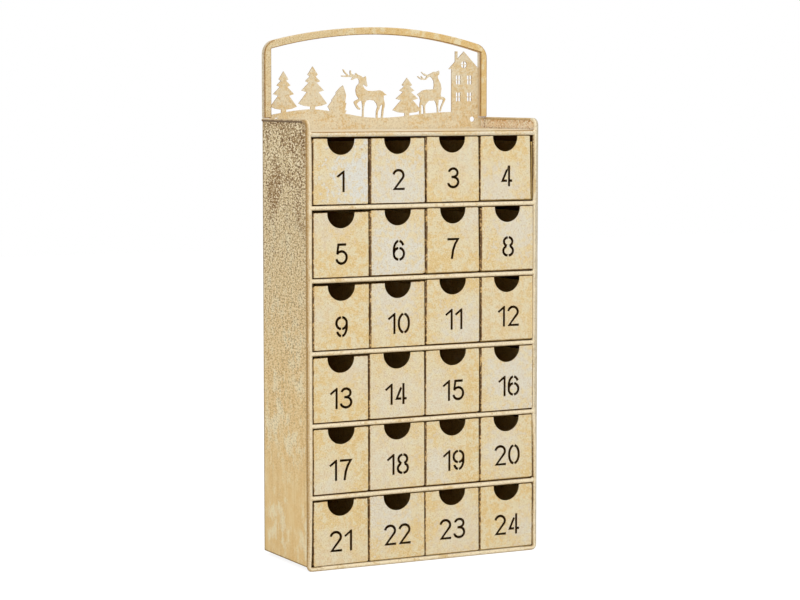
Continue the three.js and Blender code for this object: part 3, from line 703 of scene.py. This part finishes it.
def makeSide(name, hand):
    bm = bmesh.new()
    turn = bm.verts.layers.float.new("turn")
    x, rear = hand * rimX, sideHigh.y
    rimFaces = sideRim(bm, hand)
    # the sheet: an edge along the lip, pulled down to the foot
    outer, edgeTop = x + hand * sheet / 2, lipTop - rimRadius
    edge = bm.edges.new([bm.verts.new((outer, y, edgeTop)) for y in (rimY, rear)])
    alongSteps, downSteps = side["sheetSteps"]
    bmesh.ops.subdivide_edges(bm, edges=[edge], cuts=alongSteps)
    edges = [e for e in bm.edges if not e.link_faces]
    pushEdges(bm, edges, (0, 0, side["foot"] - edgeTop), cuts=downSteps)
    sheetFaces = [f for f in bm.faces if f not in rimFaces]
    sheetVerts = {v for f in sheetFaces for v in f.verts}
    for v in sheetVerts:
        inside = ramp(v.co.y, rimY, side["dentEdge"]) * ramp(rear - v.co.y, 0, side["dentEdge"])
        dent = noise.noise(v.co / side["dentSize"] + Vector((hand * 3, 0, 0)))
        v.co.x += side["dents"] * inside * dent
    # the lip's front corner is round
    corner = Vector((x, rimY + side["lipBend"], edgeTop - side["lipBend"]))
    for v in sheetVerts:
        off = Vector((v.co.y - corner.y, v.co.z - corner.z))
        if off.x < 0 and off.y > 0 and off.length > side["lipBend"]:
            off = off.normalized() * side["lipBend"]
            v.co.y, v.co.z = corner.y + off.x, corner.z + off.y
    thicken(bm, sheetFaces, 0, sheet)
    # a thin folded hem along the lip
    before = set(bm.faces)
    hem = side["hem"][hand]
    edges = startRoll(bm, side["hemSides"], hem, "X", (x, rear, lipTop - hem))
    edges = pushEdges(bm, edges, (0, rimY + side["lipBend"] - rear, 0), cuts=side["hemSteps"])
    bmesh.ops.contextual_create(bm, geom=edges)
    hemFaces = set(bm.faces) - before
    # painted light on top of the hem, painted shade below
    middleTurn, less = side["hemTurn"][hand]
    for v in {v for f in hemFaces for v in f.verts}:
        v[turn] = middleTurn - less * (v.co.z - lipTop + hem) / hem
    bmesh.ops.recalc_face_normals(bm, faces=list(rimFaces | hemFaces))
    for f in bm.faces:
        if f in rimFaces or f in hemFaces:
            f.material_index = 1
        # inner faces below the top plate take the inside coat, which is painted shade
        elif f.normal.x * hand < -0.5:
            f.material_index = 2 if f.calc_center_median().z > topLow.z else 3
    finishPiece(bm, name, "casing", ("side", "rim", "lip", "inside"), sharp=50)


makeSide("left_side_panel", -1)
makeSide("right_side_panel", 1)
print("sides bent and rolled")


# Plates: a sheet with its front edge rolled under

plate = {
    "segments": 24,
    "rollSides": 20,
    "sheetSteps": 12,
    "finer": 1.6,  # the steps are finer near the front
    "sag": 0.12 * mm,
    "sagSize": 80 * mm,
    # painted shade under each rim roll, and behind it in the gap under the fronts' feet
    "shade": 0.8,  # brown under the rims
    "rearShade": 1.3,  # and behind them
    "rearFrom": 0.3,  # in front of the roll's middle, as a share of its radius
    "drop": 0.85 * mm,  # the rims hang a little lower than the sheets
    "strip": 9 * mm,  # the sheet bends down to its rim over this depth, and is painted dark there as painted shade under the fronts' feet
    "groove": 1.2 * mm,  # painted shadow of a groove where the top plate's sheet meets its rim
    "grooveSlope": 0.82,  # on faces that look up more than this
    "front": 4 * mm,  # the underside is painted like the top over this depth
    # the bottom plate is narrower in front, and its two sheets overlap there
    "returnGap": 0.2 * mm,
    "narrowTo": 3 * mm,
    "wideFrom": 2.4 * mm,
}
rolledPlates = ["top_plate"] + [f"shelf_{i}" for i in range(1, 6)]


def addRoll(bm, reach, z):
    # one roll across the front, from side to side
    before = set(bm.faces)
    turn = bm.verts.layers.float["turn"]
    edges = startRoll(bm, plate["rollSides"], rimRadius, "Y", (-reach, rimY, z))
    edges = pushEdges(bm, edges, (2 * reach, 0, 0), cuts=plate["segments"])
    bmesh.ops.contextual_create(bm, geom=edges)
    faces = set(bm.faces) - before
    # painted shade: brown under the roll, and behind its middle where the fronts' feet shade it
    for v in {v for f in faces for v in f.verts}:
        v[turn] = plate["shade"] * max(0, z - v.co.z) / rimRadius
        if v.co.y > rimY - plate["rearFrom"] * rimRadius:
            v[turn] = plate["rearShade"]
    return faces


def addSheet(bm, reach, y0, y1, top):
    before = set(bm.faces)
    verts = bmesh.ops.create_grid(bm, x_segments=plate["segments"], y_segments=plate["sheetSteps"],
                                  size=0.5)["verts"]
    for v in verts:
        v.co.y = (v.co.y + 0.5) ** plate["finer"] - 0.5
    bmesh.ops.scale(bm, verts=verts, vec=(2 * reach, y1 - y0, 1))
    bmesh.ops.translate(bm, verts=verts, vec=(0, (y0 + y1) / 2, top))
    faces = [f for f in bm.faces if f not in before]
    bmesh.ops.solidify(bm, geom=faces, thickness=sheet)
    return set(bm.faces) - before


def makePlate(name, seed):
    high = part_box(name)[1]
    reach, top = high.x, high.z
    isTop = name == "top_plate"
    bm = bmesh.new()
    bm.verts.layers.float.new("turn")
    if name == "bottom_plate":
        narrow = rimX - side["cornerBend"] - side["rimReturn"] - plate["returnGap"]
        rollFaces = addRoll(bm, narrow, top - rimRadius)
        addSheet(bm, narrow, rimY, rimY + plate["narrowTo"], top)
        addSheet(bm, reach, rimY + plate["wideFrom"], high.y, top)
    else:
        rollFaces = addRoll(bm, reach, top - rimRadius - plate["drop"])
        sheetFaces = addSheet(bm, reach, rimY, high.y, top)
        for v in {v for f in sheetFaces for v in f.verts}:
            v.co.z -= plate["drop"] * (1 - ramp(v.co.y, rimY, plate["strip"])) ** 2
    bmesh.ops.recalc_face_normals(bm, faces=bm.faces)
    for f in bm.faces:
        behind = f.calc_center_median().y - rimY
        # painted shadow of a groove behind the top plate's rim, in brown
        if isTop and f.normal.z > plate["grooveSlope"] and behind < plate["groove"]:
            f.material_index = 4
        elif f in rollFaces:
            # the top plate's rim is as golden as its sheet
            f.material_index = 0 if isTop else 1
        elif f.normal.z < -0.5:
            f.material_index = 2 if behind > plate["front"] else 0
        # the shelves' front strip takes the dark inside coat: painted shade in the gap under the
        # fronts' feet
        elif behind < plate["strip"] and not isTop:
            f.material_index = 3
    for v in bm.verts:
        place = Vector((v.co.x / plate["sagSize"], v.co.y / plate["sagSize"], seed))
        v.co.z += plate["sag"] * noise.noise(place)
    finishPiece(bm, name, "casing", ("plate", "rim", "tray", "inside", "primer"),
                sharp=50)


for seed, name in enumerate(["bottom_plate"] + rolledPlates):
    makePlate(name, seed)
print("plates rolled")


# Solder where a shelf's rim meets the rims of the sides

solder = {
    "size": (1.9 * mm, 1.5 * mm, 2.0 * mm),
    "inFront": 0.5 * mm,
    "rough": 0.25 * mm,
    "roughSize": 2.2 * mm,
}


def makeSolder():
    bm = bmesh.new()
    for index, name in enumerate(rolledPlates):
        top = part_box(name)[1].z
        for hand in (-1, 1):
            verts = bmesh.ops.create_icosphere(bm, subdivisions=3, radius=1)["verts"]
            bmesh.ops.scale(bm, verts=verts, vec=solder["size"])
            place = (hand * (rimX - rimRadius), rimY - solder["inFront"], top - rimRadius)
            bmesh.ops.translate(bm, verts=verts, vec=place)
            shift = Vector((index, hand, 0))
            for v in verts:
                v.co += solder["rough"] * noise.noise_vector(v.co / solder["roughSize"] + shift)
    finishPiece(bm, "solder_joints", "casing", ("rim",), sharp=80)


makeSolder()


# Back panel, arch and scene keep their CAD outlines, with soft edges

flatEdge = {"back_panel": 0.15 * mm, "scene_plate": 0.12 * mm}


def makeBack():
    bm = meshOfNode("back_panel")
    soften(bm, sharpEdges(bm), flatEdge["back_panel"])
    cutAcross(bm, (0, 0, topHigh.z), (0, 0, 1))
    # only the part above the top plate is painted like the lips; below it the front face takes the
    # inside coat, which is painted shade
    for f in bm.faces:
        if f.normal.y < -0.5:
            f.material_index = 1 if f.calc_center_median().z < topHigh.z else 2
    finishPiece(bm, "back_panel", "casing", ("plate", "inside", "lip"),
                weighted=True)


arch = {
    "edge": 0.65 * mm,
    "lift": 2.3 * mm,  # the left shoulder is bent a little higher
    "liftFrom": 30 * mm,
    "liftCurve": 1.5,
    "liftWhole": 24 * mm,  # below the bar's top the lift is whole
    "darkTowards": 25 * mm,  # front corners that face this height above the lips are darker, in primer
    "lineSide": 108 * mm,  # beyond it the outer front corners are darker too
    "lineBelow": 480 * mm,
}


def makeArch():
    bm = meshOfNode("arch_frame")
    middle = Vector((0, 0, lipTop + arch["darkTowards"]))
    for f in soften(bm, sharpEdges(bm), arch["edge"]):
        place = f.calc_center_median()
        inward = middle - place
        inward.y = 0
        atSide = abs(place.x) > arch["lineSide"] and place.z < arch["lineBelow"]
        if f.normal.y < -0.2 and (f.normal.dot(inward.normalized()) > 0.2 or atSide):
            f.material_index = 1
    left, whole = abs(archLow.x), archHigh.z - arch["liftWhole"]
    for v in bm.verts:
        along = ramp(-v.co.x, arch["liftFrom"], left - arch["liftFrom"])
        climb = ramp(v.co.z, lipTop, whole - lipTop)
        v.co.z += arch["lift"] * along ** arch["liftCurve"] * climb
    finishPiece(bm, "arch_frame", "casing", ("arch", "primer"), weighted=True)


def makeScene():
    # the laser-cut walls of the figures stay golden brown
    bm = meshOfNode("scene_plate")
    soften(bm, sharpEdges(bm), flatEdge["scene_plate"])
    for f in bm.faces:
        if abs(f.normal.y) < 0.8:
            f.material_index = 1
    finishPiece(bm, "scene_plate", "casing", ("plate", "primer"), weighted=True)


makeBack()
makeArch()
makeScene()
print("back, arch and scene made")


# Drawers

drawer = {
    "count": 24,
    "columns": 4,
    "edge": 0.22 * mm,
    "kerf": 0.25 * mm,  # the laser burns the strokes a little wider
    "numberRows": (5 * mm, 40 * mm),  # the number's cuts lie between these heights
    "numberHalf": 0.45,  # and this share of the width from the middle
    "bend": (1.6 * mm, 0.95 * mm),  # width and depth of the bend at the left
    "bendCuts": 4,
    # gap that the CAD leaves, what stays open of it, and the narrowest bend
    "betweenFronts": (1.8 * mm, 0.9 * mm, 0.3 * mm),
    "besideRoll": (1.9 * mm, 0.25 * mm, 0.2 * mm),
    "fold": 4 * mm,  # depth of the turned-back edges
    "foldSheet": 0.4 * mm,
    "foldCorner": 1 * mm,
    "foldLap": 0.1 * mm,
    "notchRadius": 13.8 * mm,
    "notchDrop": 0.8 * mm,
    # how far each front's edges stand out from the CAD's, in mm: left edge low and high,
    # right edge low and high, foot left and right, head left and right
    "seats": {
        1: (-0.8, -0.8, -0.2, 0.2, 0.15, 0.15, -0.5, -1.1),
        2: (-1.1, -0.6, 0.5, -0.2, 0.15, 0.15, -0.8, -0.5),
        3: (-0.7, 0.5, -0.2, -1.2, 0.15, 0.1, 0.2, 0),
        4: (0.5, 0.5, -2.2, -3.6, -0.7, -0.7, 0.4, 0.4),
        5: (-0.8, -0.7, 0.5, 0.1, 0.15, 0.15, -1.4, -1.1),
        6: (-1.2, -1.0, 0.5, 0, -0.2, -0.7, -0.2, 0.4),
        7: (-1.2, -1.2, 0.2, -1.0, -0.6, -0.7, 0.4, 0.4),
        8: (-1.2, -1.2, 0.5, 0, -0.7, -0.1, 0.4, 0.4),
        9: (-1.1, -1.1, 0.5, 0.5, 0.15, 0.15, -1.4, -0.9),
        10: (-1.1, -1.2, 0.5, -0.1, 0.15, 0.15, -1.1, -0.5),
        11: (-0.7, 0.2, 0.5, 0.4, -0.3, -0.7, 0.4, 0.4),
        12: (-1.2, -0.4, 0.5, 0, -0.7, -0.7, 0.4, 0.4),
        13: (-0.4, -0.8, -0.3, -0.7, 0.15, -0.2, -0.9, -0.6),
        14: (0.3, 0.5, 0.3, -0.2, -0.3, -0.6, 0.4, 0),
        15: (0, -0.2, 0.5, 0.5, -0.3, -0.7, 0.4, 0.1),
        16: (-1.2, -0.4, 0.5, 0.5, 0.1, -0.4, 0.3, 0.4),
        17: (-0.4, -0.8, -0.3, -0.2, 0, -0.6, -0.2, -0.1),
        18: (0.4, 0, 0.3, 0, -0.5, -0.7, 0.4, 0.1),
        19: (-0.5, 0, 0.5, 0.1, -0.5, -0.5, 0.1, 0.1),
        20: (-0.6, -0.4, 0.5, -0.2, -0.7, -0.7, 0.4, 0.4),
        21: (-0.3, -0.3, -0.6, -1.2, -0.1, -0.7, -0.6, 0.1),
        22: (0.5, 0.5, 0.5, 0, -0.7, -0.7, 0.4, 0.4),
        23: (0.2, 0.3, 0.5, 0, -0.7, -0.7, 0.4, 0.4),
        24: (-0.6, -0.7, 0.5, 0.5, -0.7, -0.7, 0.4, 0.4),
    },
    # chalky patch: how far along and up its middle lies, reach as a share of the width, strength
    "patches": {
        1: (0.85, 0.4, 0.55, 1.0), 2: (0.5, 0.2, 0.7, 0.75), 3: (0.6, 0.7, 0.5, 0.35),
        4: (0.35, 0.15, 0.45, 0.6), 5: (0.3, 0.9, 0.4, 0.45), 6: (0.4, 0.25, 0.7, 0.8),
        7: (0.8, 0.9, 0.4, 0.5), 8: (0.7, 0.65, 0.5, 0.65), 9: (0.1, 0.5, 0.3, 0.3),
        10: (0.3, 0.8, 0.55, 0.65), 11: (0.75, 0.2, 0.5, 0.6), 12: (0.35, 0.3, 0.7, 0.15),
        13: (0.8, 0.85, 0.4, 0.45), 14: (0.55, 0.3, 0.6, 0.45), 15: (0.2, 0.3, 0.45, 0.5),
        16: (0.6, 0.5, 0.6, 0.7), 17: (0.25, 0.1, 0.4, 0.4), 18: (0.2, 0.45, 0.7, 0.45),
        19: (0.15, 0.3, 0.4, 0.6), 20: (0.4, 0.5, 0.4, 0.6), 21: (0.4, 0.1, 0.5, 0.3),
        22: (0.25, 0.8, 0.55, 0.7), 23: (0.7, 0.3, 0.5, 0.5), 24: (0.85, 0.3, 0.3, 0.6),
    },
}


def roundNotch(bm, middle, top):
    # finer steps round the finger notch
    radius = drawer["notchRadius"]
    centre = Vector((middle, 0, top - drawer["notchDrop"]))

    def fromCentre(v):
        return Vector((v.co.x - centre.x, 0, v.co.z - centre.z))

    def onNotch(v):
        return v.co.z < centre.z + near and abs(fromCentre(v).length - radius) < 5 * near

    arcs = [e for e in bm.edges if all(onNotch(v) for v in e.verts)
            and abs(e.verts[0].co.y - e.verts[1].co.y) < near]
    cut = bmesh.ops.subdivide_edges(bm, edges=arcs, cuts=2)
    for v in vertsOf(cut["geom_inner"]):
        off = fromCentre(v).normalized() * radius
        v.co.x, v.co.z = centre.x + off.x, centre.z + off.z


def leftBend(number):
    # the bend fills the gap at the left as far as the seats leave room
    seats = drawer["seats"]
    low, high = seats[number][:2]
    if (number - 1) % drawer["columns"]:
        gap, clearance, least = drawer["betweenFronts"]
        neighbour = seats[number - 1]
        taken = max(low + neighbour[2], high + neighbour[3]) * mm
    else:
        gap, clearance, least = drawer["besideRoll"]
        taken = max(low, high) * mm + side["swell"][-1]
    return max(least, min(drawer["bend"][0], gap - taken - clearance))


def roundLeft(bm, low, width, depth):
    # the sheet grows to the left and turns back in a quarter of an oval
    for v in bm.verts:
        if v.co.x < low.x + 10 * near:
            v.co.x -= width
    for step in range(1, drawer["bendCuts"] + 1):
        along = width * (1 - math.cos(math.pi / 2 * step / drawer["bendCuts"]))
        cutAcross(bm, (low.x - width + along, 0, 0), (1, 0, 0))
    for v in bm.verts:
        share = (low.x - v.co.x) / width
        if share > 0 and v.co.y < low.y + 5 * near:
            v.co.y += depth * (1 - math.sqrt(max(0, 1 - share ** 2)))


def addFolds(bm, low, high):
    # the sides and the foot of a front are turned back
    before = set(bm.verts)
    top, front = high.z - drawer["foldCorner"], high.y - drawer["foldLap"]
    corners = [(low.x, top), (low.x, low.z), (high.x, low.z), (high.x, top)]
    verts = [bm.verts.new((x, front, z)) for x, z in corners]
    for pair in zip(verts, verts[1:]):
        bm.edges.new(pair)
    soften(bm, verts[1:3], drawer["foldCorner"], segments=3, affect="VERTICES")
    edges = [e for e in bm.edges if not e.link_faces and not before.intersection(e.verts)]
    pushEdges(bm, edges, (0, drawer["fold"], 0), cuts=3)
    faces = [f for f in bm.faces if not before.intersection(f.verts)]
    thicken(bm, faces, (low.x + high.x) / 2, drawer["foldSheet"])


def makeFront(number):
    name = f"drawer_front_{number:02d}"
    low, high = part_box(name)
    width, height = high.x - low.x, high.z - low.z
    middle = (low.x + high.x) / 2
    bm = meshOfNode(name)
    roundNotch(bm, middle, high.z)
    # the number's walls stay sharp and burnt, darkened as painted shade inside the cuts; the
    # outline gets a soft edge
    lowest, highest = drawer["numberRows"]
    burnt = set()
    for f in bm.faces:
        place = f.calc_center_median()
        if (abs(f.normal.y) < 0.5 and lowest < place.z - low.z < highest
                and abs(place.x - middle) < drawer["numberHalf"] * width):
            f.material_index = 1
            burnt.add(f)
    numberVerts = {v for f in burnt for v in f.verts}
    for v in numberVerts:
        walls = sum((f.normal for f in v.link_faces if f in burnt), Vector())
        v.co -= walls.normalized() * drawer["kerf"]
    outline = [e for e in sharpEdges(bm) if not numberVerts.intersection(e.verts)
               and not all(v.co.x < low.x + near for v in e.verts)]
    soften(bm, outline, drawer["edge"])
    bend = leftBend(number)
    roundLeft(bm, low, bend, min(bend, drawer["bend"][1]))
    addFolds(bm, low - Vector((bend, 0, 0)), high)
    # each front sits a little unevenly; its number stays in place
    left, leftHigh, right, rightHigh, foot, footRight, head, headRight = drawer["seats"][number]
    numberVerts = {v for f in bm.faces if f.material_index == 1 for v in f.verts}
    for v in set(bm.verts) - numberVerts:
        across = (v.co.x - low.x) / width
        climb = (v.co.z - low.z) / height
        v.co.x += mm * ((1 - across) * -(left + (leftHigh - left) * climb)
                        + across * (right + (rightHigh - right) * climb))
        v.co.z += mm * ((1 - climb) * -(foot + (footRight - foot) * across)
                        + climb * (head + (headRight - head) * across))
    sheetMap = bm.loops.layers.uv.new("sheet")
    for loop in (loop for f in bm.faces for loop in f.loops):
        co = loop.vert.co
        loop[sheetMap].uv = (co.x - low.x + left * mm, co.z - low.z + foot * mm)
    front = finishPiece(bm, name, f"drawer_{number:02d}", ("front", "cut"),
                        weighted=True)
    along, rise, reach, strength = drawer["patches"][number]
    count = len(front.data.vertices)
    patch = front.data.attributes.new("patch", "FLOAT_COLOR", "POINT")
    patch.data.foreach_set("color", [along * width, rise * height, reach * width, strength] * count)
    size = front.data.attributes.new("size", "FLOAT_VECTOR", "POINT")
    seated = [width + (left + right) * mm, height + (foot + head) * mm, 0]
    size.data.foreach_set("vector", seated * count)


tray = {
    "sheet": 0.5 * mm,
    "fold": 1.2 * mm,  # radius of the folded corners
    "hem": 3 * mm,  # depth of the turned-in upper edge
    "hemGap": 0.7 * mm,
    "steps": (4, 6, 5),  # across, along and up
    "dents": 0.3 * mm,
    "dentSize": 30 * mm,
    "dentEdge": 12 * mm,
}


def makeTray(number):
    name = f"drawer_tray_{number:02d}"
    low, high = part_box(name)
    size = high - low
    middle = (low + high) / 2
    across, along, up = tray["steps"]
    bm = bmesh.new()
    floor = bmesh.ops.create_grid(bm, x_segments=across, y_segments=along, size=0.5)["verts"]
    bmesh.ops.scale(bm, verts=floor, vec=(size.x, size.y, 1))
    bmesh.ops.translate(bm, verts=floor, vec=(middle.x, middle.y, low.z))
    walls = [e for e in bm.edges if len(e.link_faces) == 1
             and not all(v.co.y < low.y + near for v in e.verts)]
    pushEdges(bm, walls, (0, 0, size.z), cuts=up)
    folds = [e for e in bm.edges if len(e.link_faces) == 2 and e.calc_face_angle() > 1]
    soften(bm, folds, tray["fold"], segments=3)
    for v in bm.verts:
        # thin walls bow a little
        off = noise.noise(v.co / tray["dentSize"] + Vector((number * 2, 0, 0))) * tray["dents"]
        deep = ramp(high.z - v.co.z, 0, tray["dentEdge"]) * ramp(v.co.y, low.y, tray["dentEdge"])
        if abs(v.co.x - middle.x) > size.x / 2 - near:
            v.co.x -= math.copysign(abs(off) * deep, v.co.x - middle.x)
    # the upper edge is turned in all round, and down along the sides
    tops = [e for e in bm.edges if len(e.link_faces) == 1
            and all(v.co.z > high.z - near for v in e.verts)]
    turned = bmesh.ops.extrude_edge_only(bm, edges=tops)["geom"]
    inset = tray["sheet"] + tray["hemGap"]
    bmesh.ops.scale(bm, verts=vertsOf(turned), vec=(1 - 2 * inset / size.x, 1 - inset / size.y, 1),
                    space=Matrix.Translation((-middle.x, -low.y, 0)))
    edges = [e for e in edgesOf(turned) if len(e.link_faces) == 1
             and abs(e.verts[0].co.y - e.verts[1].co.y) > tray["sheet"]]
    pushEdges(bm, edges, (0, 0, -tray["hem"]))
    thicken(bm, bm.faces[:], middle.x, tray["sheet"])
    finishPiece(bm, name, f"drawer_{number:02d}", ("tray",), sharp=40)


for number in range(1, drawer["count"] + 1):
    makeFront(number)
    makeTray(number)
print("drawers made")
